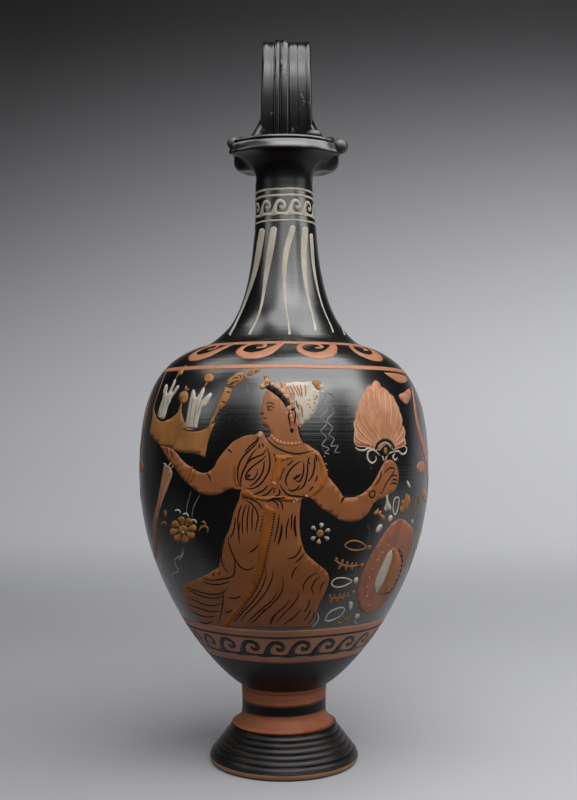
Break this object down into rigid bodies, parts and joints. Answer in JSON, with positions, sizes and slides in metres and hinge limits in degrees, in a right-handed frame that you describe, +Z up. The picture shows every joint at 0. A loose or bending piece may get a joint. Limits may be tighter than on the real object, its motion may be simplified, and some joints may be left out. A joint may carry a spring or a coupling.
{
  "type": "oinochoe",
  "caption": "Tall-necked wine jug on a ribbed foot, with a trefoil pouring mouth and a high strap handle from the lip to the shoulder.",
  "frame": {"origin": "centre of the foot's resting ring, on the surface that it stands on", "axes": "+Z up along the jug's axis, -Y towards the pouring lobe of the mouth, +Y towards the handle, +X to the right as the painted side is seen"},
  "size_m": [0.1554, 0.1554, 0.4],
  "materials": {
    "black_gloss": "black slip fired to a satin gloss",
    "reserved_clay": "orange-red clay left bare, burnished",
    "added_white": "matt white slip painted over the black",
    "added_ochre": "matt yellow-brown slip painted over the black",
    "added_red": "matt red slip painted over the black"
  },
  "bodies": {
    "root": {"foot": "black_gloss", "stem": "reserved_clay", "belly": "black_gloss", "shoulder": "black_gloss", "neck": "black_gloss", "mouth": "black_gloss", "handle_strap": "black_gloss", "handle_reed": "black_gloss", "handle_pad": "black_gloss", "handle_arm_left": "black_gloss", "handle_arm_right": "black_gloss", "rim_knob_left": "black_gloss", "rim_knob_right": "black_gloss", "root_knob": "black_gloss"}
  },
  "joints": []
}
